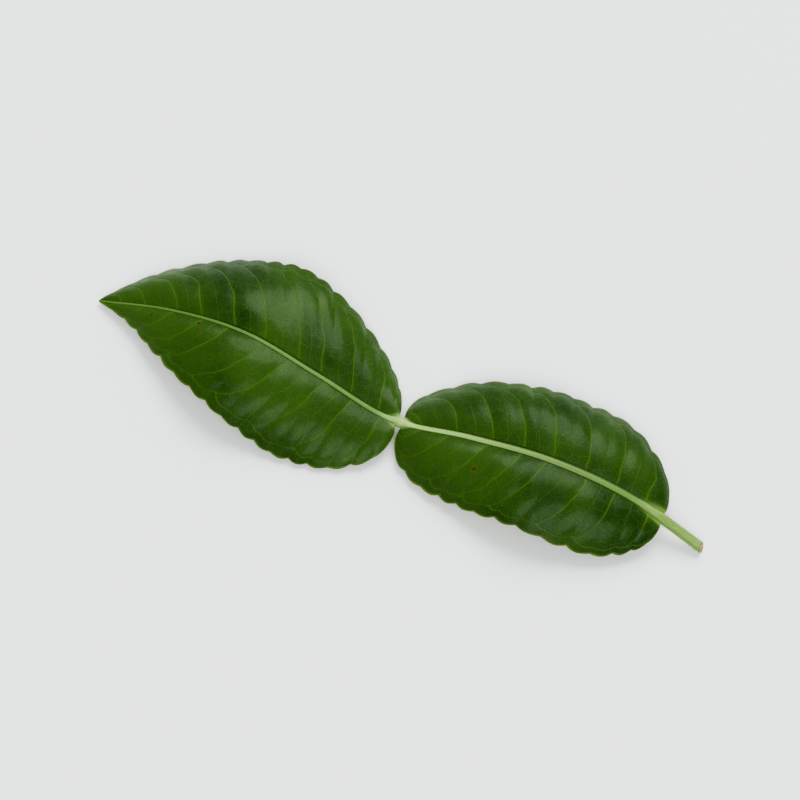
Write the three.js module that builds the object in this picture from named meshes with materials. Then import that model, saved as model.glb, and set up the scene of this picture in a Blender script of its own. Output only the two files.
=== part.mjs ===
// Kaffir lime leaf (Citrus hystrix), cut from its twig and lying top side up.
//
// A short bare petiole widens into a leafy wing, and past a narrow joint comes the
// leaf blade, so it looks like two leaves end to end. It grew as one piece, so it is
// one closed solid: a loft of cross-sections from the cut petiole to the blade's tip.
//
// Millimetres, +Z up. The leaf lies on z = 0, petiole towards +X, tip towards -X.

import * as THREE from 'three';

const { lerp, clamp } = THREE.MathUtils;

// ---- Driving dimensions ----

const petioleLength = 8;
const petioleRadius = 0.95;
const wingLength = 48.5;
const jointLength = 1.2;
const jointRadius = 1.05;
const neckRadius = 0.95; // on each side of the joint's swelling
const bladeLength = 60;

const laminaThickness = 0.4;
const edgeThickness = 0.28;
const midribWidth = 1.5;
const midribDepth = 1.15; // below the middle of the lamina
const midribGroove = 0.12; // the midrib's top lies this far below the lamina's
const midribTaper = 0.35; // midrib size at the tip, as a share of that at the petiole
const tipHalfWidth = 0.2;

const toothDepth = 0.5;
const toothFade = 6; // teeth are full-sized past 1/6 of the margin from either end
const waveHeight = 0.07; // of the margin's undulation, as a share of the rib's length
const wavesPerMargin = 1.8;

// A lamina has a half to each side of the midrib, the far one towards +Y. Each half's
// margin is two Bezier curves that meet where it is widest. base and end are handles,
// as [distance along the lamina, half width].
const wing = {
  start: petioleLength,
  length: wingLength,
  endHalfWidth: neckRadius,
  teeth: 15,
  ribSweep: 1.3, // above 1, the ribs lean towards the tip
  hollow: 0.34, // slope of each half as it rises from the midrib
  droop: 0.6, // how far that slope has turned down at the margin
  far: { widest: 17.5, width: 14.8, base: [-1, 8], end: [52, 11.5], wavePhase: 0.5 },
  near: { widest: 16.5, width: 13.2, base: [-0.6, 7.6], end: [50.5, 10.5], wavePhase: 2.6 },
};
const blade = {
  start: petioleLength + wingLength + jointLength,
  length: bladeLength,
  endHalfWidth: tipHalfWidth,
  teeth: 19,
  ribSweep: 1.55,
  hollow: 0.3,
  droop: 0.52,
  far: { widest: 27, width: 17.8, base: [0.8, 9.6], end: [55, 6.8], wavePhase: 3.4 },
  near: { widest: 20.5, width: 16, base: [-3, 8.8], end: [48.5, 3.6], wavePhase: 0.9 },
};
const leafLength = blade.start + bladeLength;

// The midrib's course in equal steps from the cut end to the tip: how far it bows
// towards +Y, and its height.
const midribCourse = [
  [-1.6, 0.95],
  [0.6, 5.3],
  [0.7, 7.4],
  [-0.2, 5.8],
  [-1.2, 2.7],
  [0.4, 5.4],
  [2, 7.6],
  [1.8, 5.4],
  [0.2, 0.7],
];

// ---- Fineness of the solid ----

const sectionsPerTooth = 4;
const acrossSteps = [1, 0.78, 0.52, 0.26, 0]; // from a margin in to the midrib
const midribShoulder = 0.6; // extra points under the midrib, this far out from its middle

// ---- Midrib ----

// Distances along the leaf are measured from the cut end, which is at +X.
const xAt = (along) => leafLength / 2 - along;

const midrib = new THREE.CatmullRomCurve3(
  midribCourse.map(([bow, height], i) =>
    new THREE.Vector3(xAt((leafLength * i) / (midribCourse.length - 1)), bow, height)),
  false, 'catmullrom',
);

const midribAt = (along) => midrib.getPoint(clamp(along / leafLength, 0, 1));

const midribSize = (along) => lerp(1, midribTaper, along / leafLength);

// ---- Middle surface of the laminas ----

function marginCurve(lamina, half) {
  const { widest, width, base, end } = half;
  const point = (along, out) => new THREE.Vector2(along, out);
  const curve = new THREE.CurvePath();
  curve.add(new THREE.CubicBezierCurve(
    point(0, neckRadius), point(...base), point(widest / 2, width), point(widest, width)));
  curve.add(new THREE.CubicBezierCurve(
    point(widest, width), point((widest + lamina.length) / 2, width),
    point(...end), point(lamina.length, lamina.endHalfWidth)));
  return curve;
}

// Rounded teeth with narrow notches between them, fading out towards both ends.
function notchDepth(lamina, u) {
  const fade = Math.min(1, toothFade * u, toothFade * (1 - u));
  return toothDepth * fade * (1 - Math.abs(Math.sin(Math.PI * lamina.teeth * u)));
}

// What would sink below the floor lies along it instead, with a soft bend.
function restOn(floor, height) {
  const softness = 0.35;
  return floor + (height - floor + Math.hypot(height - floor, softness)) / 2;
}

// A half lamina as a surface: u runs along its margin, t along a rib from the midrib
// out to the margin. side is 1 for the far half and -1 for the near one.
function halfSurface(lamina, side) {
  const half = side > 0 ? lamina.far : lamina.near;
  const margin = marginCurve(lamina, half);
  const ribCurl = 1.2; // above 1, a rib bends towards the tip as it runs out

  return (u, t) => {
    const foot = lamina.length * u ** lamina.ribSweep;
    const footWidth = (midribWidth / 2) * midribSize(lamina.start + foot);
    const edge = margin.getPoint(u);
    edge.y -= notchDepth(lamina, u);
    const ribLength = Math.hypot(edge.x - foot, edge.y - footWidth);
    const wave = waveHeight * Math.sin(2 * Math.PI * wavesPerMargin * u + half.wavePhase);
    const bend = lamina.hollow * t - lamina.droop * t ** 2 + wave * t ** 2;

    const point = midribAt(lamina.start + lerp(foot, edge.x, t ** ribCurl));
    const spineHeight = lerp(midribAt(lamina.start + foot).z, point.z, t);
    point.y += side * lerp(footWidth, edge.y, t);
    point.z = restOn(edgeThickness / 2, spineHeight + ribLength * bend);
    return point;
  };
}

// ---- Cross-sections ----

// The points of a section in order, over the top from the far margin to the near one
// and back underneath: side of the midrib, step out along the rib, upper or lower face.
const outward = acrossSteps.toReversed();
const sectionPlan = [
  ...acrossSteps.map((t) => ({ side: 1, t, face: 1 })),
  { side: 0, face: 1 },
  ...outward.map((t) => ({ side: -1, t, face: 1 })),
  ...acrossSteps.map((t) => ({ side: -1, t, face: -1 })),
  { side: -midribShoulder, face: -1 },
  { side: 0, face: -1 },
  { side: midribShoulder, face: -1 },
  ...outward.map((t) => ({ side: 1, t, face: -1 })),
];

function roundSection(along, radius) {
  const centre = midribAt(along);
  const topMiddle = acrossSteps.length;
  return sectionPlan.map((_, i) => {
    const angle = (2 * Math.PI * (topMiddle - i)) / sectionPlan.length;
    return new THREE.Vector3(
      centre.x, centre.y + radius * Math.sin(angle), centre.z + radius * Math.cos(angle));
  });
}

// A point on the upper or lower face of a half lamina, square to its middle surface.
function laminaPoint(surface, u, { side, t, face }) {
  const step = 1e-3;
  const uStart = Math.min(u, 1 - step);
  const tStart = Math.min(t, 1 - step);
  const alongRib = surface(u, tStart + step).sub(surface(u, tStart));
  const alongMargin = surface(uStart + step, t).sub(surface(uStart, t));
  const upward = alongRib.cross(alongMargin).normalize().multiplyScalar(side);
  const thickness = lerp(laminaThickness, edgeThickness, t ** 3);
  return surface(u, t).addScaledVector(upward, (face * thickness) / 2);
}

// A point on the midrib, which is flush on top and round underneath.
function midribPoint(along, { side, face }) {
  const size = midribSize(along);
  const point = midribAt(along);
  point.y += (side * midribWidth * size) / 2;
  point.z += face > 0
    ? laminaThickness / 2 - midribGroove * size
    : -midribDepth * size * Math.sqrt(1 - side ** 2);
  return point;
}

function laminaSections(lamina) {
  const far = halfSurface(lamina, 1);
  const near = halfSurface(lamina, -1);
  const count = lamina.teeth * sectionsPerTooth;
  const sections = [];
  for (let i = 1; i < count; i++) {
    const u = i / count;
    const foot = lamina.start + lamina.length * u ** lamina.ribSweep;
    sections.push(sectionPlan.map((place) => (Math.abs(place.side) < 1
      ? midribPoint(foot, place)
      : laminaPoint(place.side > 0 ? far : near, u, place))));
  }
  return sections;
}

// ---- The solid ----

// Skins a row of sections that all have the same number of points, and closes each
// end with a fan round a middle point.
function loft(sections, startMiddle, endMiddle) {
  const ring = sections[0].length;
  const lastRow = (sections.length - 1) * ring;
  const points = [...sections.flat(), startMiddle, endMiddle];
  const start = points.length - 2;
  const end = points.length - 1;
  const faces = [];
  for (let k = 0; k < ring; k++) {
    const next = (k + 1) % ring;
    for (let row = 0; row < lastRow; row += ring) {
      faces.push(row + k, row + ring + k, row + next);
      faces.push(row + next, row + ring + k, row + ring + next);
    }
    faces.push(start, k, next);
    faces.push(end, lastRow + next, lastRow + k);
  }
  const geometry = new THREE.BufferGeometry().setFromPoints(points);
  geometry.setIndex(faces);
  return geometry;
}

function leafGeometry() {
  const geometry = loft([
    roundSection(0, petioleRadius),
    roundSection(petioleLength / 2, petioleRadius),
    roundSection(petioleLength, petioleRadius),
    ...laminaSections(wing),
    roundSection(blade.start - jointLength, neckRadius),
    roundSection(blade.start - jointLength / 2, jointRadius),
    roundSection(blade.start, neckRadius),
    ...laminaSections(blade),
  ], midribAt(0), midribAt(leafLength));

  // Set down on the surface, with its middle over the origin.
  geometry.computeBoundingBox();
  const { min, max } = geometry.boundingBox;
  geometry.translate(-(min.x + max.x) / 2, -(min.y + max.y) / 2, -min.z);
  geometry.computeVertexNormals();
  return geometry;
}

const leaf = new THREE.Mesh(
  leafGeometry(),
  new THREE.MeshStandardMaterial({ color: 0x2f5c22, roughness: 0.38, metalness: 0 }),
);
leaf.name = 'kaffir_lime_leaf';

const part = new THREE.Group();
part.add(leaf);

export default part;
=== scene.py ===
import math

import bpy
import numpy as np
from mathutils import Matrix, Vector


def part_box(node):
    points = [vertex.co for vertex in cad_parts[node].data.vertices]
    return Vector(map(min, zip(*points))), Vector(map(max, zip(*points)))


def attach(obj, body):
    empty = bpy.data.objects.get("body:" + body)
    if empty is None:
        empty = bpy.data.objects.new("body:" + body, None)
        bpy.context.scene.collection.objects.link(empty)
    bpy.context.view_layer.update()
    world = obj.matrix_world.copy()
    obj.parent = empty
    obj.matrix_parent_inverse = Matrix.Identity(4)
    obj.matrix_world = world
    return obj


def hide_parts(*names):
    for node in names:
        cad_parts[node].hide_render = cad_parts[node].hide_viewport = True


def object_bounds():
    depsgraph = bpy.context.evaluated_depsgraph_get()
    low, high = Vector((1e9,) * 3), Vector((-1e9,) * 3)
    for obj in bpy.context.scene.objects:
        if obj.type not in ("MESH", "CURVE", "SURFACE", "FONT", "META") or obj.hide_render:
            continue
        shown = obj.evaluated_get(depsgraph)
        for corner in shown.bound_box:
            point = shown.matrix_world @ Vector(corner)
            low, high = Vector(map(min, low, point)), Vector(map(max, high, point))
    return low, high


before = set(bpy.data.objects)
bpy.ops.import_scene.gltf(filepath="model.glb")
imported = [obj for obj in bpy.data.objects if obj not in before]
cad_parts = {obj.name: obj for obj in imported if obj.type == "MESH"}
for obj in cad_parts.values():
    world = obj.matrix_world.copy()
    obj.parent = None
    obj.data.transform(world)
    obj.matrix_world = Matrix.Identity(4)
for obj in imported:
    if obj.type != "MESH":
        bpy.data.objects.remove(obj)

cadLow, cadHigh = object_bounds()
leafNode = "kaffir_lime_leaf"
leafLow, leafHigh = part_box(leafNode)
mm = 0.001
print("frame loaded, CAD box in mm:", [round(v / mm, 1) for v in (*cadLow, *cadHigh)])

# The leaf's shape in millimetres. "along" runs from the cut end of the petiole to the tip,
# side 1 is the far half and side -1 the near one.
leafShape = {
    "petiole": 8, "wingLength": 48.5, "joint": 1.2, "bladeLength": 60,
    "thickness": 0.38, "edgeThickness": 0.24,
    "petioleRadius": 0.95, "jointRadius": 1.1, "neckRadius": 0.95,
    "jointSpread": 1.5,       # how far along the joint's swelling reaches
    "creases": (-0.45, 0.45), "creaseWidth": 0.13, "creaseDepth": 0.07,
    "flare": 0.08, "flareReach": 0.9,  # the petiole widens a little at the cut
    "midribWidth": 1.4, "midribDepth": 1.15, "midribTaper": 0.25,
    "midribGroove": 0.16, "midribCord": 0.17,  # a fine raised line along a shallow groove
    "stalkGroove": 0.1,       # along the top of the petiole, as a share of its radius
    "tipHalfWidth": 0.2, "tipPoint": 0.1,
    "toothDepth": 0.5, "toothFade": 6, "toothUnevenness": 0.35, "toothDrift": 0.013,
    "waveHeight": 0.07, "wavesPerMargin": 1.8,
    "ribCurl": 1.2,           # above 1, a rib bends towards the tip as it runs out
    "floorSoftness": 0.35,    # how softly the leaf bends where it meets the floor
    # how far the midrib bows to the side, and its height, in equal steps along
    "course": [(-1.6, 0.95), (0.6, 5.3), (0.7, 7.4), (-0.2, 5.8), (-1.2, 2.7),
               (0.4, 5.4), (2, 7.6), (1.8, 5.4), (0.2, 0.7)],
}
leafLength = sum(leafShape[key] for key in ("petiole", "wingLength", "joint", "bladeLength"))

# The cut end, in millimetres: how far it leans, and the rings of its face from the edge in,
# each as its size beside the last one and how far it stands out from it
cutShape = {
    "slant": 0.3, "slantReach": 2,
    "rings": ((0.93, 0.05), (0.85, 0), (0.75, -0.03), (0.6, -0.04), (0.4, -0.03)),
}

wing = {
    "start": leafShape["petiole"], "length": leafShape["wingLength"],
    "endHalfWidth": leafShape["neckRadius"],
    "teeth": 15, "veins": 8, "ribSweep": 1.3, "hollow": 0.34, "droop": 0.6,
    1: {"widest": 17.5, "width": 14.8, "base": (-1, 8), "end": (52, 11.5), "wave": 0.5},
    -1: {"widest": 16.5, "width": 13.2, "base": (-0.6, 7.6), "end": (50.5, 10.5), "wave": 2.6},
}
blade = {
    "start": leafLength - leafShape["bladeLength"], "length": leafShape["bladeLength"],
    "endHalfWidth": leafShape["tipHalfWidth"],
    "teeth": 19, "veins": 10, "ribSweep": 1.55, "hollow": 0.3, "droop": 0.52,
    1: {"widest": 27, "width": 17.8, "base": (0.8, 9.6), "end": (55, 6.8), "wave": 3.4},
    -1: {"widest": 20.5, "width": 16, "base": (-3, 8.8), "end": (48.5, 3.6), "wave": 0.9},
}

# The skin's relief. Heights, widths and lengths are in millimetres.
leafRelief = {
    "blister": 0.13,          # how far the skin swells between two side veins
    "blisterWidth": 1.3,
    "ridge": 0.16,            # side veins standing out underneath
    "ridgeWidth": 0.3,
    "unevenness": 0.35,       # slow rise and fall of the whole skin
    "unevenWaves": 9, "unevenLengths": (9, 19),
    "veinScatter": 0.16,      # as a share of the way from one side vein to the next
    "loopPlace": 0.85, "loopDip": 0.06,  # loops near the margin, as a share of a rib
    "loopBend": 0.1,          # how far side veins bend on towards the tip at the margin
    "rimRounding": 0.4,
    "seed": 7,
}
# What the skin is told on the midrib and the petiole: no side vein, margin or loop nearby
noLamina = {"veinCount": 0.35, "veinSpacing": 5, "toEdge": 5, "loopGap": -5, "outward": 0}
meshFineness = {"rowsPerTooth": 16, "petioleRows": 30, "jointRows": 16,
                "across": 30, "ribTop": 11, "ribUnder": 13}

dice = np.random.default_rng(leafRelief["seed"])


def smoothStep(low, high, value):
    f = np.clip((value - low) / (high - low), 0, 1)
    return f * f * (3 - 2 * f)


def mix(a, b, f):
    return a + (b - a) * f


# 1 in the middle, falling softly to nothing at about twice the width
def bell(distance, width):
    return np.exp(-(distance / width) ** 2)


# The midrib's sideways bow (column 0) or height (column 1), on a smooth line
def courseAt(along, column):
    points = np.array([row[column] for row in leafShape["course"]], float)
    last = len(points) - 1
    points = np.concatenate([[2 * points[0] - points[1]], points, [2 * points[-1] - points[-2]]])
    place = np.clip(along / leafLength, 0, 1) * last
    k = np.minimum(place.astype(int), last - 1)
    f = place - k
    a, b, c, d = (points[k + i] for i in range(4))
    return 0.5 * (2 * b + (c - a) * f + (2 * a - 5 * b + 4 * c - d) * f ** 2
                  + (3 * b - a - 3 * c + d) * f ** 3)


# Half width, height above and depth below the middle surface, and how round it is
def spineProfile(along):
    size = mix(1, leafShape["midribTaper"], along / leafLength)
    jointMiddle = blade["start"] - leafShape["joint"] / 2
    petioleShare = 1 - smoothStep(wing["start"] - 1, wing["start"] + 6, along)
    fromJoint = along - jointMiddle
    jointShare = bell(fromJoint, leafShape["jointSpread"])
    radius = mix(leafShape["petioleRadius"], leafShape["jointRadius"], jointShare)
    radius = radius * (1 + leafShape["flare"] * bell(along, leafShape["flareReach"]))
    for crease in leafShape["creases"]:
        dip = bell(fromJoint - crease, leafShape["creaseWidth"])
        radius = radius * (1 - leafShape["creaseDepth"] * dip)
    roundness = np.clip(petioleShare + jointShare, 0, 1)
    sideRadius = np.minimum(radius, leafShape["neckRadius"]) * 0.97
    halfWidth = mix(leafShape["midribWidth"] / 2 * size, sideRadius, roundness)
    above = mix(leafShape["thickness"] / 2, radius, roundness)
    below = mix(leafShape["midribDepth"] * size, radius, roundness)
    return halfWidth, above, below, roundness


def bezier(points, f):
    a, b, c, d = (np.array(p, float) for p in points)
    f = f[:, None]
    return a * (1 - f) ** 3 + b * 3 * f * (1 - f) ** 2 + c * 3 * f ** 2 * (1 - f) + d * f ** 3


# A half's margin, as points at known shares of its length
def marginLine(lamina, side):
    half, length = lamina[side], lamina["length"]
    widest, width = half["widest"], half["width"]
    steps = np.linspace(0, 1, 400)
    towardsWidest = bezier([(0, leafShape["neckRadius"]), half["base"],
                            (widest / 2, width), (widest, width)], steps)
    towardsEnd = bezier([(widest, width), ((widest + length) / 2, width),
                         half["end"], (length, lamina["endHalfWidth"])], steps[1:])
    line = np.vstack([towardsWidest, towardsEnd])
    travelled = np.concatenate([[0], np.cumsum(np.linalg.norm(np.diff(line, axis=0), axis=1))])
    return travelled / travelled[-1], line[:, 0], line[:, 1]


# Rounded teeth with narrow notches, a little uneven, fading out at both ends
def toothNotch(lamina, side, u):
    wave = lamina[side]["wave"]
    fade = np.clip(leafShape["toothFade"] * np.minimum(u, 1 - u), 0, 1)
    uneven = 1 + leafShape["toothUnevenness"] * np.sin(lamina["teeth"] * u * 2.3 + wave)
    shifted = u + leafShape["toothDrift"] * np.sin(11 * u + 2 * wave)
    scallop = np.abs(np.sin(np.pi * lamina["teeth"] * shifted))
    return leafShape["toothDepth"] * fade * uneven * (1 - scallop)


# Middle surface of one half: u along the margin, t out along a rib from midrib to margin
def halfSheet(lamina, side, u, t, toothed=True):
    share, lineAlong, lineOut = marginLine(lamina, side)
    edgeAlong, edgeOut = np.interp(u, share, lineAlong), np.interp(u, share, lineOut)
    if toothed:
        edgeOut = edgeOut - toothNotch(lamina, side, u)
    foot = lamina["length"] * u ** lamina["ribSweep"]
    footWidth = spineProfile(lamina["start"] + foot)[0]
    ribLength = np.hypot(edgeAlong - foot, edgeOut - footWidth)
    waves = 2 * np.pi * leafShape["wavesPerMargin"] * u + lamina[side]["wave"]
    bend = (lamina["hollow"] * t - lamina["droop"] * t ** 2
            + leafShape["waveHeight"] * np.sin(waves) * t ** 2)
    along = lamina["start"] + mix(foot, edgeAlong, t ** leafShape["ribCurl"])
    spine = mix(courseAt(lamina["start"] + foot, 1), courseAt(along, 1), t)
    floor = leafShape["edgeThickness"] / 2
    above = spine + ribLength * bend - floor
    # Nothing sinks below the floor
    height = floor + (above + np.hypot(above, leafShape["floorSoftness"])) / 2
    across = courseAt(along, 0) + side * mix(footWidth, edgeOut, t)
    return np.stack([leafLength / 2 - along, across, height], axis=-1), ribLength


# Slow unevenness of the skin, from a few crossing waves
rippleWaves = [
    (dice.uniform(0, np.pi), dice.uniform(*leafRelief["unevenLengths"]),
     dice.uniform(0, 2 * np.pi))
    for _ in range(leafRelief["unevenWaves"])]


def ripple(points):
    total = 0
    for turn, length, phase in rippleWaves:
        way = points[..., 0] * math.cos(turn) + points[..., 1] * math.sin(turn)
        total = total + np.sin(2 * np.pi * way / length + phase)
    return leafRelief["unevenness"] * total / len(rippleWaves)


# Counts the side veins of a half: whole numbers lie on a vein, and it rises to the tip.
# They leave the midrib evenly, with some scatter.
def veinCounter(lamina):
    number, scatter = lamina["veins"], leafRelief["veinScatter"]
    feet = np.arange(number) + 0.55 + dice.uniform(-scatter, scatter, number)
    starts = (feet / (number + 0.15)) ** (1 / lamina["ribSweep"])
    places = np.concatenate([[0], starts, [1]])
    numbers = np.concatenate([[noLamina["veinCount"]], np.arange(1, number + 1), [number + 0.65]])
    return lambda u, t: np.interp(u - leafRelief["loopBend"] * t ** 5, places, numbers)


# Millimetres of skin from one side vein to the next, square to them
def veinSpacing(points, count):
    alongRow, alongRib = np.gradient(points, axis=0), np.gradient(points, axis=1)
    e, g = (alongRow ** 2).sum(-1), (alongRib ** 2).sum(-1)
    f = (alongRow * alongRib).sum(-1)
    rise, out = np.gradient(count, axis=0), np.gradient(count, axis=1)
    steepness = (g * rise ** 2 - 2 * f * rise * out + e * out ** 2) / (e * g - f * f)
    return 1 / np.sqrt(np.maximum(steepness, 0.01))


def unit(vectors):
    return vectors / np.maximum(np.linalg.norm(vectors, axis=-1, keepdims=True), 1e-9)


# The upper face, under face and rim of a half lamina, and what its skin needs to know
def halfFaces(lamina, side, rows, across):
    u, t = rows[:, None], across[None, :]
    sheet, ribLength = halfSheet(lamina, side, u, t)
    step = 1e-3
    alongRib = (halfSheet(lamina, side, u, t + step, False)[0]
                - halfSheet(lamina, side, u, t, False)[0])
    alongRow = (halfSheet(lamina, side, np.minimum(u + step, 1), t, False)[0]
                - halfSheet(lamina, side, np.maximum(u - step, 0), t, False)[0])
    upward = unit(np.cross(alongRib, alongRow))
    upward = upward * np.sign(upward[..., 2:])
    outward = unit(alongRib)

    count = veinCounters[lamina["start"], side](u, t)
    spacing = veinSpacing(sheet, count)
    toVein = np.abs(count - np.round(count)) * spacing
    toEdge, toMidrib = ribLength * (1 - t), ribLength * t
    upward = unit(mix(np.array([0, 0, 1]), upward, smoothStep(0, 1.2, toMidrib)[..., None]))
    bow = np.abs(np.sin(np.pi * count)) ** 0.7
    loopPlace = leafRelief["loopPlace"] + leafRelief["loopDip"] * bow

    inner = smoothStep(0, 2.5, toMidrib) * smoothStep(0.2, 2.5, toEdge)
    inner = inner * smoothStep(0, 0.06, np.minimum(u, 1 - u))
    swell = leafRelief["blister"] * (1 - bell(toVein, leafRelief["blisterWidth"]))
    lift = swell * inner + ripple(sheet) * smoothStep(0, 6, toMidrib)
    ridge = leafRelief["ridge"] * bell(toVein, leafRelief["ridgeWidth"])
    ridge = ridge * inner * mix(1, 0.35, t)
    thickness = mix(leafShape["thickness"], leafShape["edgeThickness"], t ** 6)

    upper = sheet + upward * (lift + thickness / 2)[..., None]
    under = sheet + upward * (lift - thickness / 2 - ridge)[..., None]
    rim = ((upper[:, -1:] + under[:, -1:]) / 2
           + outward[:, -1:] * leafShape["edgeThickness"] * leafRelief["rimRounding"])
    halfWidth = spineProfile(lamina["start"] + lamina["length"] * u ** lamina["ribSweep"])[0]
    marks = {"veinCount": count, "veinSpacing": spacing, "toEdge": toEdge,
             "ribPlace": 1 + toMidrib / halfWidth, "loopGap": (t - loopPlace) * ribLength,
             "outward": t + 0 * u}
    return upper, under, rim, marks


# How far round the stalk the midrib strip stops short, where there is no lamina beside it
def sideAngle(along):
    return math.radians(48) * (1 - smoothStep(1, wing["start"], along))[:, None]


# One side of a stretch without a lamina: the lamina's columns go round the side of the stalk
def bareSides(along, side, across):
    halfWidth, above, below = (v[:, None] for v in spineProfile(along)[:3])
    flat = leafShape["thickness"] / 2
    start, t = sideAngle(along), across[None, :]
    arcShare = start * halfWidth / (start * halfWidth + flat)
    angle = start * np.clip(1 - t / np.maximum(arcShare, 1e-6), 0, 1)
    flatShare = np.clip((t - arcShare) / (1 - arcShare), 0, 1)
    out = halfWidth * np.cos(angle) + 0.03 * flatShare
    y = courseAt(along, 0)[:, None] + side * out
    middle = courseAt(along, 1)[:, None]
    x = leafLength / 2 - along[:, None] + 0 * y
    edge = flat * (1 - 0.9 * flatShare)
    upper = np.stack([x, y, middle + edge + (above - flat) * np.sin(angle)], axis=-1)
    under = np.stack([x, y, middle - edge - (below - flat) * np.sin(angle)], axis=-1)
    rim = (upper[:, -1:] + under[:, -1:]) / 2 + np.array([0, side * 0.004, 0])
    marks = {key: value + 0 * y for key, value in noLamina.items()}
    marks["ribPlace"] = np.cos(angle)
    return upper, under, rim, marks


# The midrib, petiole and joint between the two halves: face 1 on top, -1 underneath
def spineStrip(along, start, count, face):
    halfWidth, above, below, roundness = (v[:, None] for v in spineProfile(along))
    angle = mix(start, np.pi - start, np.linspace(0, 1, count)[None, :])
    if face < 0:
        angle = np.pi - angle
    s, arch = np.cos(angle), np.sin(angle)
    flat = leafShape["thickness"] / 2
    if face > 0:
        channel = 1 - leafShape["stalkGroove"] * bell(s, 0.35)
        size = mix(1, leafShape["midribTaper"], along[:, None] / leafLength)
        line = size * (leafShape["midribCord"] * bell(s, 0.4)
                       - leafShape["midribGroove"] * arch ** 2)
        rise = flat + (above - flat) * arch * channel + (1 - roundness) * line
    else:
        rise = -flat - (below - flat) * arch
    y = courseAt(along, 0)[:, None] + s * halfWidth
    height = courseAt(along, 1)[:, None] + rise
    return np.stack([leafLength / 2 - along[:, None] + 0 * y, y, height], axis=-1), np.abs(s)


# The midrib is palest by the joint and the petiole, and greener to the tip; by the joint this
# paleness is partly a painted highlight. The reaches are in millimetres, and the skin is a little
# paler near the joint and the tip as well.
paleness = {"palest": 1, "usual": 0.62, "lessAtTip": 0.2,
            "jointReach": 32, "petioleReach": 7, "tipReach": 30}


# All rows of the leaf from cut end to tip, each a closed ring of the same number of points
def leafRings():
    steps = np.arange(1, meshFineness["across"] + 1) / meshFineness["across"]
    across = 0.55 * steps + 0.45 * (1 - np.cos(np.pi * steps)) / 2
    jointStart = blade["start"] - leafShape["joint"]
    stretches = [
        (None, np.linspace(0, leafShape["petiole"], meshFineness["petioleRows"])),
        (wing, None),
        (None, np.linspace(jointStart, blade["start"], meshFineness["jointRows"])),
        (blade, None),
    ]
    rings, marks = [], []
    for lamina, along in stretches:
        if lamina:
            count = lamina["teeth"] * meshFineness["rowsPerTooth"]
            rows = np.arange(1, count + (lamina is blade)) / count
            along = lamina["start"] + lamina["length"] * rows ** lamina["ribSweep"]
            sides = {side: halfFaces(lamina, side, rows, across) for side in (1, -1)}
        else:
            sides = {side: bareSides(along, side, across) for side in (1, -1)}
        farUpper, farUnder, farRim, farMarks = sides[1]
        nearUpper, nearUnder, nearRim, nearMarks = sides[-1]
        start = sideAngle(along) if lamina is None else np.zeros((len(along), 1))
        top, topPlace = spineStrip(along, start, meshFineness["ribTop"], 1)
        under, underPlace = spineStrip(along, start, meshFineness["ribUnder"], -1)
        rings.append(np.concatenate([
            farUpper[:, ::-1], top, nearUpper, nearRim,
            nearUnder[:, ::-1], under, farUnder, farRim, farUpper[:, -1:]], axis=1))

        row = {}
        for key in farMarks:
            far, near = farMarks[key], nearMarks[key]
            onTop = topPlace if key == "ribPlace" else noLamina[key] + 0 * topPlace
            onUnder = underPlace if key == "ribPlace" else noLamina[key] + 0 * underPlace
            row[key] = np.concatenate([far[:, ::-1], onTop, near, near[:, -1:], near[:, ::-1],
                                       onUnder, far, far[:, -1:], far[:, -1:]], axis=1)
        roundness = spineProfile(along)[3][:, None]
        row["stalk"] = roundness * np.exp(-np.maximum(row["ribPlace"] - 1.4, 0) / 0.4)

        wingStart, bladeStart = wing["start"], blade["start"]
        # nearJoint also places the painted highlight on the midrib and the petiole by the joint
        nearJoint = (smoothStep(jointStart - paleness["jointReach"], jointStart, along)
                     * (1 - smoothStep(bladeStart, bladeStart + 5, along)))
        nearPetiole = 1 - smoothStep(wingStart, wingStart + paleness["petioleReach"], along)
        nearTip = smoothStep(leafLength - paleness["tipReach"], leafLength - 4, along)
        gain = (paleness["palest"] - paleness["usual"]) * np.maximum(nearJoint, nearPetiole)
        fall = paleness["lessAtTip"] * smoothStep(bladeStart, leafLength * 0.9, along)
        pale = paleness["usual"] + gain - fall
        spread = {"ribPaleness": pale, "nearJoint": nearJoint, "nearTip": nearTip}
        for key, values in spread.items():
            row[key] = values[:, None] + 0 * row["stalk"]
        marks.append(row)
    rings = np.concatenate(rings)
    marks = {key: np.concatenate([row[key] for row in marks]) for key in marks[0]}
    fromCut = leafLength / 2 - rings[..., 0]
    marks["besideSpine"] = rings[..., 1] - courseAt(fromCut, 0)
    marks["overSpine"] = rings[..., 2] - courseAt(fromCut, 1)
    # The cut is not quite square
    rise = rings[..., 2] - rings[0, :, 2].mean()
    lean = cutShape["slant"] * rise / leafShape["petioleRadius"]
    rings[..., 0] -= lean * np.clip(1 - fromCut / cutShape["slantReach"], 0, 1)
    return rings, marks


veinCounters = {(lamina["start"], side): veinCounter(lamina)
                for lamina in (wing, blade) for side in (1, -1)}
rings, marks = leafRings()
rowCount, columnCount = rings.shape[:2]
print("leaf rings:", rowCount, "rows of", columnCount, "points")


# Where the leaf lies on its flat map, as shares of the map
flatLayout = {"width": 0.95, "length": 0.97, "lowGap": 0.015, "highGap": 0.035,
              "cutMiddle": (0.972, 0.97), "cutRadius": 0.017}
cutSlot = 2  # the cut's material, after the upper and the under skin


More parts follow.
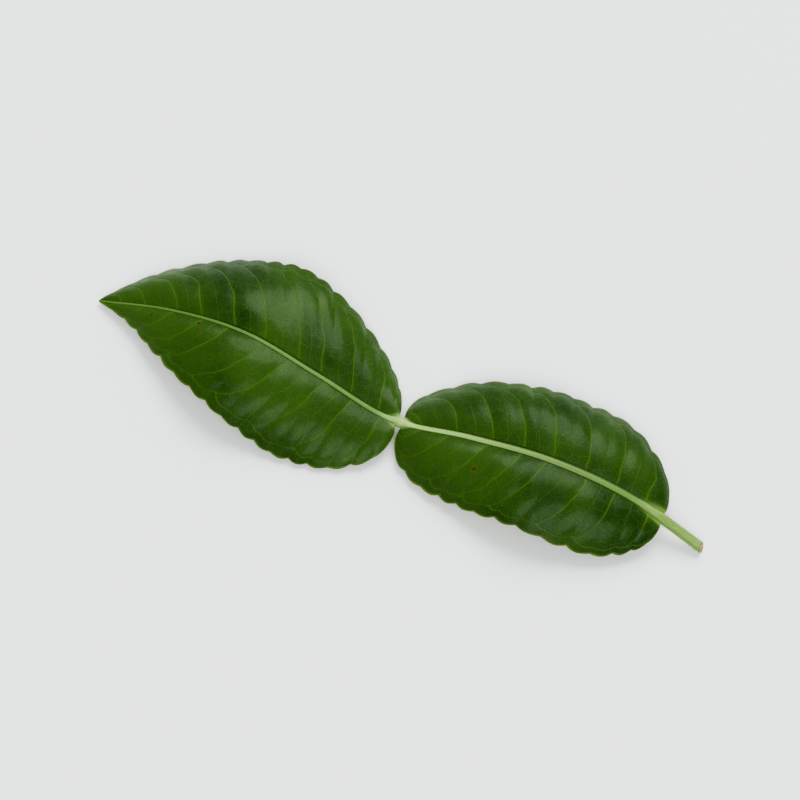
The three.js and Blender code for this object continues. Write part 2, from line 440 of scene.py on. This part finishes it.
# A plain grid is rolled into a closed skin, row by row from cut end to tip
def modelLeaf():
    bpy.ops.object.select_all(action="DESELECT")
    bpy.ops.mesh.primitive_grid_add(
        x_subdivisions=columnCount - 1, y_subdivisions=rowCount - 1, size=1)
    leaf = bpy.context.active_object
    leaf.name = leaf.data.name = "leafSkin"
    mesh = leaf.data
    flat = np.empty(len(mesh.vertices) * 3)
    mesh.vertices.foreach_get("co", flat)
    flat = flat.reshape(-1, 3)
    column = np.rint((flat[:, 0] + 0.5) * (columnCount - 1)).astype(int)
    row = np.rint((flat[:, 1] + 0.5) * (rowCount - 1)).astype(int)

    # Onto the CAD leaf's place: same cut end, same middle, and down on the surface
    points = rings * mm
    low, high = points.min((0, 1)), points.max((0, 1))
    shift = np.array([leafHigh[0] - high[0], (leafLow[1] + leafHigh[1] - low[1] - high[1]) / 2,
                      leafLow[2] - low[2]])
    mesh.vertices.foreach_set("co", (points + shift)[row, column].ravel())
    for key, values in marks.items():
        mark = mesh.attributes.new(key, "FLOAT", "POINT")
        mark.data.foreach_set("value", values[row, column].astype(np.float32))

    # The upper face is the first half of each ring
    upperColumns = 2 * meshFineness["across"] + meshFineness["ribTop"]
    faceColumn = np.minimum.reduce([column[[p.vertices[i] for p in mesh.polygons]]
                                    for i in range(4)])
    isUnder = (faceColumn >= upperColumns) & (faceColumn < columnCount - 2)
    mesh.polygons.foreach_set("material_index", isUnder.astype(np.int32))
    mesh.polygons.foreach_set("use_smooth", np.ones(len(mesh.polygons), bool))
    mesh.update()
    layOutFlat(mesh, row, column, isUnder)
    closeLeaf(leaf)
    return leaf


# A flat map of the leaf: the upper face unrolled below, the under face above it
def layOutFlat(mesh, row, column, isUnder):
    steps = np.linalg.norm(np.diff(rings[..., 1:], axis=1), axis=-1)
    reach = np.concatenate([np.zeros((rowCount, 1)), np.cumsum(steps, axis=1)], axis=1)
    topMiddle = meshFineness["across"] + meshFineness["ribTop"] // 2
    underMiddle = (3 * meshFineness["across"] + meshFineness["ribTop"] + 1
                   + meshFineness["ribUnder"] // 2)
    upper, under = reach - reach[:, [topMiddle]], reach - reach[:, [underMiddle]]
    lastUpper = 2 * meshFineness["across"] + meshFineness["ribTop"]
    upper[:, -1] = upper[:, 0]
    upper[:, -2] = upper[:, 0] - steps[:, -1]
    upper[:, lastUpper + 1:-2] = 0
    under[:, :lastUpper] = 0
    under[:, -1] = 0
    upperWidth, underWidth = upper.max() - upper.min(), under.max() - under.min()
    scale = flatLayout["width"] / (upperWidth + underWidth)
    lowSide = flatLayout["lowGap"] + (upper - upper.min()) * scale
    highSide = flatLayout["highGap"] + (upperWidth + under - under.min()) * scale

    loopPoint = np.array([loop.vertex_index for loop in mesh.loops])
    loopUnder = np.repeat(isUnder, 4)
    r, c = row[loopPoint], column[loopPoint]
    across = 0.5 + flatLayout["length"] * rings[r, c, 0] / leafLength
    up = np.where(loopUnder, highSide[r, c], lowSide[r, c])
    spots = np.stack([across, up], axis=1)
    flatMap = mesh.uv_layers.new(name="OFBake")
    flatMap.data.foreach_set("uv", spots.ravel().astype(np.float32))


# The tip's open ring closes to a point, and the cut end is drawn in to a shallow hollow
def closeLeaf(leaf):
    mesh = leaf.data
    bpy.ops.object.mode_set(mode="EDIT")
    bpy.ops.mesh.select_mode(type="VERT")
    bpy.ops.mesh.select_all(action="SELECT")
    bpy.ops.mesh.remove_doubles(threshold=1e-7)
    bpy.ops.mesh.select_all(action="DESELECT")
    bpy.ops.object.mode_set(mode="OBJECT")
    for index in openEdges(mesh):
        mesh.vertices[index].select = mesh.vertices[index].co.x < 0
    bpy.ops.object.mode_set(mode="EDIT")
    bpy.ops.mesh.merge(type="CENTER")
    bpy.ops.transform.translate(value=(-leafShape["tipPoint"] * mm, 0, 0))
    bpy.ops.mesh.select_all(action="DESELECT")
    bpy.ops.object.mode_set(mode="OBJECT")

    before = len(mesh.polygons)
    ring = openEdges(mesh)
    for index in ring:
        mesh.vertices[index].select = True
    centre = sum((mesh.vertices[i].co for i in ring), Vector()) / len(ring)
    bpy.ops.object.mode_set(mode="EDIT")
    for size, outwards in cutShape["rings"]:
        bpy.ops.mesh.extrude_edges_move(TRANSFORM_OT_translate={"value": (outwards * mm, 0, 0)})
        bpy.ops.transform.resize(value=(size, size, size), center_override=centre)
    bpy.ops.mesh.merge(type="CENTER")
    bpy.ops.mesh.select_all(action="SELECT")
    bpy.ops.mesh.normals_make_consistent(inside=False)
    bpy.ops.object.mode_set(mode="OBJECT")
    for face in list(mesh.polygons)[before:]:
        face.material_index = cutSlot
        face.use_smooth = True


def openEdges(mesh):
    uses = {}
    for face in mesh.polygons:
        for edge in face.edge_keys:
            uses[edge] = uses.get(edge, 0) + 1
    return {index for edge, count in uses.items() if count == 1 for index in edge}


# How far out from the middle of the stalk each point of the cut face is, as a share.
# The face lies in a free corner of the flat map.
def markCut(leaf):
    mesh = leaf.data
    cutFaces = [face for face in mesh.polygons if face.material_index == cutSlot]
    places = {i: mesh.vertices[i].co for face in cutFaces for i in face.vertices}
    centre = sum(places.values(), Vector()) / len(places)
    reach = max((place - centre).length for place in places.values())
    shares = np.ones(len(mesh.vertices))
    for i, place in places.items():
        shares[i] = (place - centre).length / reach
    mesh.attributes.new("fromCentre", "FLOAT", "POINT").data.foreach_set("value", shares)

    flatMap = mesh.uv_layers["OFBake"]
    middleAcross, middleUp = flatLayout["cutMiddle"]
    scale = flatLayout["cutRadius"] / reach
    for face in cutFaces:
        for k in face.loop_indices:
            place = (mesh.vertices[mesh.loops[k].vertex_index].co - centre) * scale
            flatMap.data[k].uv = (middleAcross + place.y, middleUp + place.z)


leaf = modelLeaf()
markCut(leaf)
print("leaf modelled:", len(leaf.data.polygons), "faces, open edges:", len(openEdges(leaf.data)))


# Short ways to lay nodes and join them
def addNode(tree, kind, **settings):
    node = tree.nodes.new("ShaderNode" + kind)
    placed = len(tree.nodes)
    node.location = (placed % 9 * 190, -(placed // 9) * 260)
    for key, value in settings.items():
        setattr(node, key, value)
    return node


def feed(tree, value, socket):
    if isinstance(value, bpy.types.NodeSocket):
        tree.links.new(value, socket)
    elif isinstance(value, tuple) and len(value) == 3 and socket.type == "RGBA":
        socket.default_value = (*value, 1)
    else:
        socket.default_value = value


def sums(tree, operation, *values):
    node = addNode(tree, "Math", operation=operation)
    for value, socket in zip(values, node.inputs):
        feed(tree, value, socket)
    return node.outputs[0]


# Goes smoothly from one value to another while the first input goes from low to high
def ease(tree, value, low, high, toLow=0.0, toHigh=1.0):
    node = addNode(tree, "MapRange", interpolation_type="SMOOTHSTEP")
    for given, socket in zip((value, low, high, toLow, toHigh), node.inputs):
        feed(tree, given, socket)
    return node.outputs[0]


def tint(tree, amount, under, over, way="MIX"):
    node = addNode(tree, "Mix", data_type="RGBA", blend_type=way)
    feed(tree, amount, node.inputs[0])
    feed(tree, under, node.inputs[6])
    feed(tree, over, node.inputs[7])
    return node.outputs[2]


def noise(tree, place, size, detail=3.0, roughness=0.5, flat=True):
    node = addNode(tree, "TexNoise", noise_dimensions="2D" if flat else "3D")
    feed(tree, place, node.inputs["Vector"])
    node.inputs["Scale"].default_value = 1 / size
    node.inputs["Detail"].default_value = detail
    node.inputs["Roughness"].default_value = roughness
    return node.outputs["Fac"]


def cells(tree, place, size, feature, randomness):
    node = addNode(tree, "TexVoronoi", voronoi_dimensions="2D", feature=feature)
    feed(tree, place, node.inputs["Vector"])
    feed(tree, sums(tree, "DIVIDE", 1.0, size), node.inputs["Scale"])
    node.inputs["Randomness"].default_value = randomness
    return node


# Inputs go by name, with a starting value for a number and None for a place
def newGroup(name, inputs, outputs, outputKind="NodeSocketFloat"):
    tree = bpy.data.node_groups.new(name, "ShaderNodeTree")
    for label, value in inputs.items():
        kind = "NodeSocketVector" if value is None else "NodeSocketFloat"
        socket = tree.interface.new_socket(label, in_out="INPUT", socket_type=kind)
        if value is not None:
            socket.default_value = value
    for label in outputs:
        tree.interface.new_socket(label, in_out="OUTPUT", socket_type=outputKind)
    given, made = tree.nodes.new("NodeGroupInput"), tree.nodes.new("NodeGroupOutput")
    return tree, given.outputs, made.inputs


def useGroup(tree, group, **values):
    node = addNode(tree, "Group", node_tree=group)
    for label, value in values.items():
        feed(tree, value, node.inputs[label])
    return node.outputs


# Places on the leaf in millimetres, pushed about a little so that no line is too regular
def buildWander():
    tree, given, made = newGroup("wanderingPlace", {"Place": None, "Size": 3.0, "Amount": 0.3},
                                 ["Place"], "NodeSocketVector")
    texture = addNode(tree, "TexNoise", noise_dimensions="2D")
    feed(tree, given["Place"], texture.inputs["Vector"])
    feed(tree, sums(tree, "DIVIDE", 1.0, given["Size"]), texture.inputs["Scale"])
    texture.inputs["Detail"].default_value = 2
    centred = addNode(tree, "VectorMath", operation="SUBTRACT")
    feed(tree, texture.outputs["Color"], centred.inputs[0])
    centred.inputs[1].default_value = (0.5, 0.5, 0.5)
    pushed = addNode(tree, "VectorMath", operation="MULTIPLY_ADD")
    feed(tree, centred.outputs[0], pushed.inputs[0])
    feed(tree, given["Amount"], pushed.inputs[1])
    feed(tree, given["Place"], pushed.inputs[2])
    feed(tree, pushed.outputs[0], made["Place"])
    return tree


# Sizes, the net's wander and the rim are in millimetres. Widths are shares of a vein's own.
veinPattern = {
    "wobbleSize": 4.5, "wobble": 0.14,    # how far side veins stray, as a share of their spacing
    "narrowing": 0.35,                    # a side vein's width at the margin
    "shoulderWidth": 4.0, "loopWidth": 0.6, "loopStrength": 0.8,
    "weakWidth": 0.7, "weakStrength": 0.55,
    "netSize": 2.1, "fineNetSize": 0.8, "fineNetWidth": 0.55,
    "netWanderSize": 1.4, "netWander": 0.55,
    "rimInner": 0.34, "rimOuter": 0.06, "rimRaggedness": 0.3,
}


# Every vein of the leaf, as masks: midrib, side veins, loops near the margin and the fine net
def buildVeins():
    tree, given, made = newGroup(
        "leafVeins",
        {"Place": None, "Count": 0.35, "Spacing": 5.0, "Outward": 0.0, "To Edge": 5.0,
         "Rib Place": 2.0, "Loop Gap": -5.0, "Vein Width": 0.3, "Net Width": 0.1},
        ["Rib", "Side Veins", "Shoulders", "Net", "Fine Net", "Rim"])
    pattern = veinPattern
    wobble = noise(tree, given["Place"], pattern["wobbleSize"], 1)
    stray = sums(tree, "SUBTRACT", wobble, 0.5)
    count = sums(tree, "MULTIPLY_ADD", stray, pattern["wobble"], given["Count"])
    nearest = sums(tree, "ABSOLUTE", sums(tree, "SUBTRACT", count, sums(tree, "ROUND", count)))
    toVein = sums(tree, "MULTIPLY", nearest, given["Spacing"])
    width = sums(tree, "MULTIPLY", given["Vein Width"],
                 ease(tree, given["Outward"], 0.0, 1.0, 1.0, pattern["narrowing"]))
    inLoops = ease(tree, given["Loop Gap"], -0.3, 0.6, 1.0, 0.0)
    lamina = ease(tree, given["Rib Place"], 0.9, 1.3)
    side = ease(tree, toVein, sums(tree, "MULTIPLY", width, 0.25), width, 1.0, 0.0)
    shoulderWidth = sums(tree, "MULTIPLY", width, pattern["shoulderWidth"])
    shoulder = ease(tree, toVein, 0.0, shoulderWidth, 1.0, 0.0)

    # Weaker veins between the side veins, which do not reach the loops
    between = sums(tree, "SUBTRACT", 0.5, nearest)
    toBetween = sums(tree, "MULTIPLY", between, given["Spacing"])
    weakWidth = sums(tree, "MULTIPLY", width, pattern["weakWidth"])
    weak = ease(tree, toBetween, 0.0, weakWidth, 1.0, 0.0)
    weak = sums(tree, "MULTIPLY", weak,
                ease(tree, given["Outward"], 0.35, 0.75, pattern["weakStrength"], 0.0))

    toLoop = sums(tree, "ABSOLUTE", given["Loop Gap"])
    loopWidth = sums(tree, "MULTIPLY", given["Vein Width"], pattern["loopWidth"])
    loop = ease(tree, toLoop, 0.03, loopWidth, pattern["loopStrength"], 0.0)
    side = sums(tree, "MULTIPLY", side, inLoops)
    side = sums(tree, "MAXIMUM", sums(tree, "MAXIMUM", side, loop), weak)
    feed(tree, sums(tree, "MULTIPLY", side, lamina), made["Side Veins"])
    shoulder = sums(tree, "MULTIPLY", shoulder, inLoops)
    feed(tree, sums(tree, "MULTIPLY", shoulder, lamina), made["Shoulders"])

    wander = useGroup(tree, groups["wander"], Place=given["Place"],
                      Size=pattern["netWanderSize"], Amount=pattern["netWander"])[0]
    netFade = sums(tree, "MULTIPLY", lamina, ease(tree, given["To Edge"], 0.2, 0.9))
    for label, size, share in (("Net", pattern["netSize"], 1.0),
                               ("Fine Net", pattern["fineNetSize"], pattern["fineNetWidth"])):
        edge = cells(tree, wander, size, "DISTANCE_TO_EDGE", 1.0).outputs["Distance"]
        toLine = sums(tree, "MULTIPLY", edge, size)
        lineWidth = sums(tree, "MULTIPLY", given["Net Width"], share)
        line = ease(tree, toLine, sums(tree, "MULTIPLY", lineWidth, 0.2), lineWidth, 1.0, 0.0)
        feed(tree, sums(tree, "MULTIPLY", line, netFade), made[label])

    feed(tree, ease(tree, given["Rib Place"], 0.5, 1.15, 1.0, 0.0), made["Rib"])
    # A ragged band along the margin, where the skins paint a pale edge that is partly a painted
    # highlight
    toEdge = sums(tree, "SUBTRACT", given["To Edge"], pattern["rimRaggedness"] / 2)
    ragged = sums(tree, "MULTIPLY_ADD", wobble, pattern["rimRaggedness"], toEdge)
    rim = ease(tree, ragged, pattern["rimOuter"], pattern["rimInner"], 1.0, 0.0)
    feed(tree, rim, made["Rim"])
    return tree


glandSize = {"Spacing": 0.8, "Radius": 0.13}


# Tiny oil glands, scattered evenly but not in rows
def buildGlands():
    tree, given, made = newGroup("oilGlands", {"Place": None, **glandSize}, ["Dots", "Mounds"])
    dots = cells(tree, given["Place"], given["Spacing"], "F1", 0.85)
    away = sums(tree, "MULTIPLY", dots.outputs["Distance"], given["Spacing"])
    parts = addNode(tree, "SeparateColor")
    feed(tree, dots.outputs["Color"], parts.inputs[0])
    size = ease(tree, parts.outputs[0], 0.0, 1.0, 0.55, 1.25)
    radius = sums(tree, "MULTIPLY", given["Radius"], size)
    dot = ease(tree, away, sums(tree, "MULTIPLY", radius, 0.5), radius, 1.0, 0.0)
    mound = ease(tree, away, 0.0, sums(tree, "MULTIPLY", radius, 2.0), 1.0, 0.0)
    feed(tree, dot, made["Dots"])
    feed(tree, mound, made["Mounds"])
    return tree


# Uneven colour at three sizes in millimetres, each with its detail, roughness and spread
mottleLayers = {"Patches": (17, 2, 0.45, 0.16), "Clouds": (3.6, 4, 0.6, 0.2),
                "Grain": (0.22, 3, 0.6, 0.25)}


def buildMottle():
    tree, given, made = newGroup("leafMottle", {"Place": None}, list(mottleLayers))
    for label, (size, detail, roughness, spread) in mottleLayers.items():
        layer = noise(tree, given["Place"], size, detail, roughness)
        feed(tree, ease(tree, layer, 0.5 - spread, 0.5 + spread), made[label])
    return tree


scarSize = {"Spacing": 8.0, "Radius": 0.32, "Share": 0.2}  # the share of places with a scar


# A few corky scars and nibbles of weather: a brown middle and a paler ring
def buildScars():
    tree, given, made = newGroup("leafScars", {"Place": None, **scarSize}, ["Scar", "Halo"])
    wander = useGroup(tree, groups["wander"], Place=given["Place"], Size=0.6, Amount=0.35)[0]
    spots = cells(tree, wander, given["Spacing"], "F1", 1.0)
    parts = addNode(tree, "SeparateColor")
    feed(tree, spots.outputs["Color"], parts.inputs[0])
    chosen = sums(tree, "LESS_THAN", parts.outputs[0], given["Share"])
    size = ease(tree, parts.outputs[1], 0.0, 1.0, 0.25, 1.3)
    radius = sums(tree, "MULTIPLY", given["Radius"], size)
    away = sums(tree, "MULTIPLY", spots.outputs["Distance"], given["Spacing"])
    scar = ease(tree, away, sums(tree, "MULTIPLY", radius, 0.55), radius, 1.0, 0.0)
    halo = ease(tree, away, radius, sums(tree, "MULTIPLY", radius, 2.2), 1.0, 0.0)
    feed(tree, sums(tree, "MULTIPLY", scar, chosen), made["Scar"])
    feed(tree, sums(tree, "MULTIPLY", halo, chosen), made["Halo"])
    return tree


groups = {}
groups["wander"] = buildWander()
groups["veins"] = buildVeins()
groups["glands"] = buildGlands()
groups["mottle"] = buildMottle()
groups["scars"] = buildScars()
print("node groups built:", ", ".join(groups))

# Colours are linear. Widths and heights are in millimetres. Veins sink where veinRise is -1
# and stand out where it is 1.
upperSkin = {
    "dark": (0.022, 0.062, 0.009), "light": (0.053, 0.117, 0.019), "cloud": (0.038, 0.093, 0.015),
    # The rim colour is partly the leaf's pale edge and partly a painted highlight
    "vein": (0.075, 0.16, 0.022), "rib": (0.27, 0.43, 0.13), "rim": (0.16, 0.24, 0.05),
    "gland": (0.075, 0.15, 0.02), "scar": (0.075, 0.045, 0.018), "halo": (0.11, 0.14, 0.02),
    "fresh": (0.085, 0.165, 0.035),
    "veinWidth": 0.26, "netWidth": 0.1, "netHeight": 0.01, "net": 0.34, "fineNet": 0.2,
    "veinRise": -1, "roughness": 0.36, "specular": 0.15, "coat": 0.1, "coatRoughness": 0.18,
}
underSkin = {
    "dark": (0.2, 0.31, 0.055), "light": (0.31, 0.43, 0.085), "cloud": (0.25, 0.37, 0.07),
    "vein": (0.42, 0.52, 0.15), "rib": (0.46, 0.54, 0.17), "rim": (0.36, 0.44, 0.13),
    "gland": (0.12, 0.22, 0.03), "scar": (0.13, 0.085, 0.03), "halo": (0.3, 0.32, 0.08),
    "fresh": (0.34, 0.44, 0.1),
    "veinWidth": 0.32, "netWidth": 0.14, "netHeight": 0.024, "net": 0.5, "fineNet": 0.34,
    "veinRise": 1, "roughness": 0.56, "specular": 0.3, "coat": 0, "coatRoughness": 0.4,
}
# The joint colour is partly the pale swollen joint and partly a painted highlight near it
stalkSkin = {
    "pale": (0.28, 0.41, 0.14), "deep": (0.16, 0.28, 0.06), "joint": (0.47, 0.68, 0.28),
    "streakSize": 0.24, "streakStretch": 12.5,
}
cutFace = {
    "pith": (0.5, 0.52, 0.26), "wood": (0.36, 0.36, 0.13), "skin": (0.16, 0.17, 0.045),
    "dried": (0.19, 0.12, 0.045),
    "speckleSize": 0.12, "speckleHeight": 0.06, "raggedness": 0.25, "driedSize": 0.7,
}

# Shared by both skins: how strongly each mark shows, how much rougher it is than the skin,
# and how high it stands
markStrength = {
    "clouds": 0.55, "fresh": 0.45, "shoulders": 0.16, "glands": 0.5, "veins": 0.75, "rim": 0.6,
    "joint": 0.6, "rib": 0.92, "ribStreaks": 0.55, "stalk": 0.85, "halo": 0.3, "scars": 0.85,
    "grain": 0.1,
}
markRoughness = {"cloudsLow": -0.04, "cloudsHigh": 0.05, "veins": 0.06, "rib": 0.05,
                 "scars": 0.3, "stalk": 0.08, "grain": 0.03}
markHeight = {
    "grain": 0.006, "clouds": 0.05, "veins": 0.04, "shoulders": 0.03, "fineNetShare": 0.4,
    "glands": 0.008, "scars": 0.03, "ribStreaks": 0.05, "stalkStreaks": 0.06,
}
flesh = {"amount": 0.12, "reach": (0.4, 1, 0.15), "depth": 0.4}  # light passing in the tissue


def mark(tree, name):
    return addNode(tree, "Attribute", attribute_name=name).outputs["Fac"]


def placeInMillimetres(tree):
    where = addNode(tree, "TexCoord")
    scaled = addNode(tree, "VectorMath", operation="SCALE")
    feed(tree, where.outputs["Object"], scaled.inputs[0])
    scaled.inputs["Scale"].default_value = 1 / mm
    return scaled.outputs[0]


def newMaterial(name):
    material = bpy.data.materials.new(name)
    material.use_nodes = True
    tree = material.node_tree
    return material, tree, tree.nodes["Principled BSDF"]


# Laid over a colour as strongly as a mask and a share of it say
def overlay(tree, mask, share, under, over):
    return tint(tree, sums(tree, "MULTIPLY", mask, share), under, over)


# Adds masks to a value, each by its own amount
def addAll(tree, value, pairs):
    for mask, amount in pairs:
        value = sums(tree, "MULTIPLY_ADD", mask, amount, value)
    return value


# Fine streaks run along the midrib and the petiole
def buildStreaks(tree, place):
    split, stretched = addNode(tree, "SeparateXYZ"), addNode(tree, "CombineXYZ")
    feed(tree, place, split.inputs[0])
    alongLeaf = sums(tree, "MULTIPLY", split.outputs[0], 1 / stalkSkin["streakStretch"])
    feed(tree, alongLeaf, stretched.inputs[0])
    feed(tree, mark(tree, "besideSpine"), stretched.inputs[1])
    feed(tree, mark(tree, "overSpine"), stretched.inputs[2])
    return noise(tree, stretched.outputs[0], stalkSkin["streakSize"], 3, 0.55, flat=False)


def addBump(tree, shader, height):
    bump = addNode(tree, "Bump")
    bump.inputs["Distance"].default_value = mm
    bump.inputs["Strength"].default_value = 1
    feed(tree, height, bump.inputs["Height"])
    feed(tree, bump.outputs[0], shader.inputs["Normal"])


# One skin of the leaf. The upper one is dark and waxy, the lower one pale and dull.
def buildSkin(name, skin):
    material, tree, shader = newMaterial(name)
    place = placeInMillimetres(tree)
    stalk, joint, tip = (mark(tree, key) for key in ("stalk", "nearJoint", "nearTip"))
    veins = useGroup(tree, groups["veins"], **{
        "Place": place, "Count": mark(tree, "veinCount"), "Spacing": mark(tree, "veinSpacing"),
        "Outward": mark(tree, "outward"), "To Edge": mark(tree, "toEdge"),
        "Rib Place": mark(tree, "ribPlace"), "Loop Gap": mark(tree, "loopGap"),
        "Vein Width": skin["veinWidth"], "Net Width": skin["netWidth"]})
    mottle = useGroup(tree, groups["mottle"], Place=place)
    glands = useGroup(tree, groups["glands"], Place=place, **glandSize)
    scars = useGroup(tree, groups["scars"], Place=place, **scarSize)
    streak = buildStreaks(tree, place)

    show = markStrength
    colour = tint(tree, mottle["Patches"], skin["dark"], skin["light"])
    colour = overlay(tree, mottle["Clouds"], show["clouds"], colour, skin["cloud"])
    fresh = sums(tree, "MAXIMUM", sums(tree, "POWER", joint, 2.0), tip)
    colour = overlay(tree, fresh, show["fresh"], colour, skin["fresh"])
    colour = overlay(tree, veins["Shoulders"], show["shoulders"], colour, skin["vein"])
    net = sums(tree, "MULTIPLY", veins["Net"], skin["net"])
    fineNet = sums(tree, "MULTIPLY", veins["Fine Net"], skin["fineNet"])
    colour = tint(tree, sums(tree, "MAXIMUM", net, fineNet), colour, skin["vein"])
    colour = overlay(tree, glands["Dots"], show["glands"], colour, skin["gland"])
    colour = overlay(tree, veins["Side Veins"], show["veins"], colour, skin["vein"])
    # Pale rim along the margin: partly the leaf's own pale edge, partly a painted highlight
    colour = overlay(tree, veins["Rim"], show["rim"], colour, skin["rim"])

    ribStreaks = ease(tree, streak, 0.3, 0.7, 0.0, show["ribStreaks"])
    ribColour = tint(tree, ribStreaks, skin["rib"], stalkSkin["pale"])
    # Painted highlight: the midrib turns to the pale joint colour towards the joint
    ribColour = overlay(tree, joint, show["joint"], ribColour, stalkSkin["joint"])
    ribAmount = sums(tree, "MULTIPLY", veins["Rib"], mark(tree, "ribPaleness"))
    colour = overlay(tree, ribAmount, show["rib"], colour, ribColour)
    stalkColour = tint(tree, ease(tree, streak, 0.3, 0.72), stalkSkin["pale"], stalkSkin["deep"])
    # Painted highlight: the petiole and joint turn to the pale joint colour by the joint
    stalkColour = overlay(tree, joint, show["joint"], stalkColour, stalkSkin["joint"])
    colour = overlay(tree, stalk, show["stalk"], colour, stalkColour)
    colour = overlay(tree, scars["Halo"], show["halo"], colour, skin["halo"])
    colour = overlay(tree, scars["Scar"], show["scars"], colour, skin["scar"])
    grain = ease(tree, mottle["Grain"], 0.0, 1.0, 1 - show["grain"], 1 + show["grain"])
    shade = addNode(tree, "CombineColor")
    for socket in shade.inputs:
        feed(tree, grain, socket)
    colour = tint(tree, 1.0, colour, shade.outputs[0], "MULTIPLY")
    feed(tree, colour, shader.inputs["Base Color"])

    rougher = markRoughness
    least, most = (skin["roughness"] + rougher[key] for key in ("cloudsLow", "cloudsHigh"))
    roughness = addAll(tree, ease(tree, mottle["Clouds"], 0, 1, least, most), (
        (veins["Side Veins"], rougher["veins"]), (veins["Rib"], rougher["rib"]),
        (scars["Scar"], rougher["scars"]), (stalk, rougher["stalk"]),
        (mottle["Grain"], rougher["grain"])))
    feed(tree, roughness, shader.inputs["Roughness"])
    if skin["coat"]:
        lost = sums(tree, "MULTIPLY", scars["Scar"], -skin["coat"])
        feed(tree, sums(tree, "ADD", skin["coat"], lost), shader.inputs["Coat Weight"])
    shader.inputs["Coat Roughness"].default_value = skin["coatRoughness"]
    shader.inputs["Specular IOR Level"].default_value = skin["specular"]

    high, rise = markHeight, skin["veinRise"]
    netHeight = rise * skin["netHeight"]
    height = sums(tree, "MULTIPLY", mottle["Grain"], high["grain"])
    addBump(tree, shader, addAll(tree, height, (
        (mottle["Clouds"], high["clouds"]), (veins["Side Veins"], rise * high["veins"]),
        (veins["Shoulders"], rise * high["shoulders"]), (veins["Net"], netHeight),
        (veins["Fine Net"], netHeight * high["fineNetShare"]),
        (glands["Mounds"], high["glands"]), (scars["Scar"], high["scars"]),
        (sums(tree, "MULTIPLY", veins["Rib"], streak), high["ribStreaks"]),
        (sums(tree, "MULTIPLY", stalk, streak), high["stalkStreaks"]))))
    shader.inputs["Subsurface Weight"].default_value = flesh["amount"]
    shader.inputs["Subsurface Radius"].default_value = flesh["reach"]
    shader.inputs["Subsurface Scale"].default_value = flesh["depth"] * mm
    return material


# The fresh cut: green skin outside, a woody ring, pale pith in the middle
def buildCut(name):
    material, tree, shader = newMaterial(name)
    place = placeInMillimetres(tree)
    away = mark(tree, "fromCentre")
    speckle = noise(tree, place, cutFace["speckleSize"], 3, 0.6, flat=False)
    centred = sums(tree, "SUBTRACT", speckle, 0.5)
    ragged = sums(tree, "MULTIPLY_ADD", centred, cutFace["raggedness"], away)
    colour = tint(tree, ease(tree, ragged, 0.35, 0.55), cutFace["pith"], cutFace["wood"])
    colour = tint(tree, ease(tree, ragged, 0.78, 0.92), colour, cutFace["skin"])
    dry = noise(tree, place, cutFace["driedSize"], 2, 0.5, flat=False)
    colour = tint(tree, ease(tree, dry, 0.42, 0.7, 0.1, 0.75), colour, cutFace["dried"])
    feed(tree, colour, shader.inputs["Base Color"])
    feed(tree, ease(tree, speckle, 0.3, 0.7, 0.6, 0.85), shader.inputs["Roughness"])
    addBump(tree, shader, sums(tree, "MULTIPLY", speckle, cutFace["speckleHeight"]))
    return material


leaf.data.materials.append(buildSkin("glossyUpperSkin", upperSkin))
leaf.data.materials.append(buildSkin("paleUnderSkin", underSkin))
leaf.data.materials.append(buildCut("freshCut"))
print("leaf materials ready")

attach(leaf, "root")
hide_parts(leafNode)

stage = {"size": 12, "colour": (0.9, 0.92, 0.935), "roughness": 0.75}
bpy.ops.object.select_all(action="DESELECT")
bpy.ops.mesh.primitive_plane_add(size=stage["size"], location=(0, 0, cadLow[2]))
floor = bpy.context.active_object
floor.name = floor.data.name = "paleFloor"
floorPaint, _, floorShader = newMaterial("paleFloorPaint")
floorShader.inputs["Base Color"].default_value = (*stage["colour"], 1)
floorShader.inputs["Roughness"].default_value = stage["roughness"]
floor.data.materials.append(floorPaint)

# A broad soft light behind, a weaker one in front, and an even, dimmer room
lights = {
    "softBack": {"turn": 94, "rise": 48, "distance": 2.4, "size": 1.8, "power": 30},
    "softFront": {"turn": -60, "rise": 50, "distance": 2.4, "size": 1.8, "power": 22},
}
room = {"brightness": 0.34, "exposure": 0.3, "look": "AgX - Very High Contrast"}


def towards(turn, rise, distance):
    a, e = math.radians(turn), math.radians(rise)
    return Vector((math.cos(a) * math.cos(e), math.sin(a) * math.cos(e), math.sin(e))) * distance


def aim(thing, target):
    thing.rotation_euler = (target - thing.location).to_track_quat("-Z", "Y").to_euler()


middle = Vector(((leafLow[i] + leafHigh[i]) / 2 for i in range(3)))
for name, light in lights.items():
    bpy.ops.object.light_add(
        type="AREA", location=middle + towards(light["turn"], light["rise"], light["distance"]))
    lamp = bpy.context.active_object
    lamp.name = name
    lamp.data.shape = "DISK"
    lamp.data.size = light["size"]
    lamp.data.energy = light["power"]
    aim(lamp, middle)

world = bpy.data.worlds.new("softRoom")
bpy.context.scene.world = world
world.use_nodes = True
walls = world.node_tree.nodes["Background"]
walls.inputs["Color"].default_value = (1, 1, 1, 1)
walls.inputs["Strength"].default_value = room["brightness"]
film = bpy.context.scene.view_settings
film.view_transform = "AgX"
film.look = room["look"]
film.exposure = room["exposure"]

# The camera looks down on the leaf, tip to the upper left and cut end to the lower right
view = {"turn": 23.2, "rise": 66, "lens": 90, "sensor": 36, "frameWidth": 0.142}
turn, rise = math.radians(view["turn"]), math.radians(view["rise"])
distance = view["frameWidth"] * view["lens"] / view["sensor"]
back = Vector((math.sin(turn) * math.cos(rise), -math.cos(turn) * math.cos(rise), math.sin(rise)))
bpy.ops.object.camera_add(location=middle + back * distance)
camera = bpy.context.active_object
camera.name = "viewFromAbove"
camera.data.lens = view["lens"]
camera.data.sensor_width = view["sensor"]
camera.data.clip_start = 0.01
aim(camera, middle)
bpy.context.scene.camera = camera
print("stage, lights and camera ready")
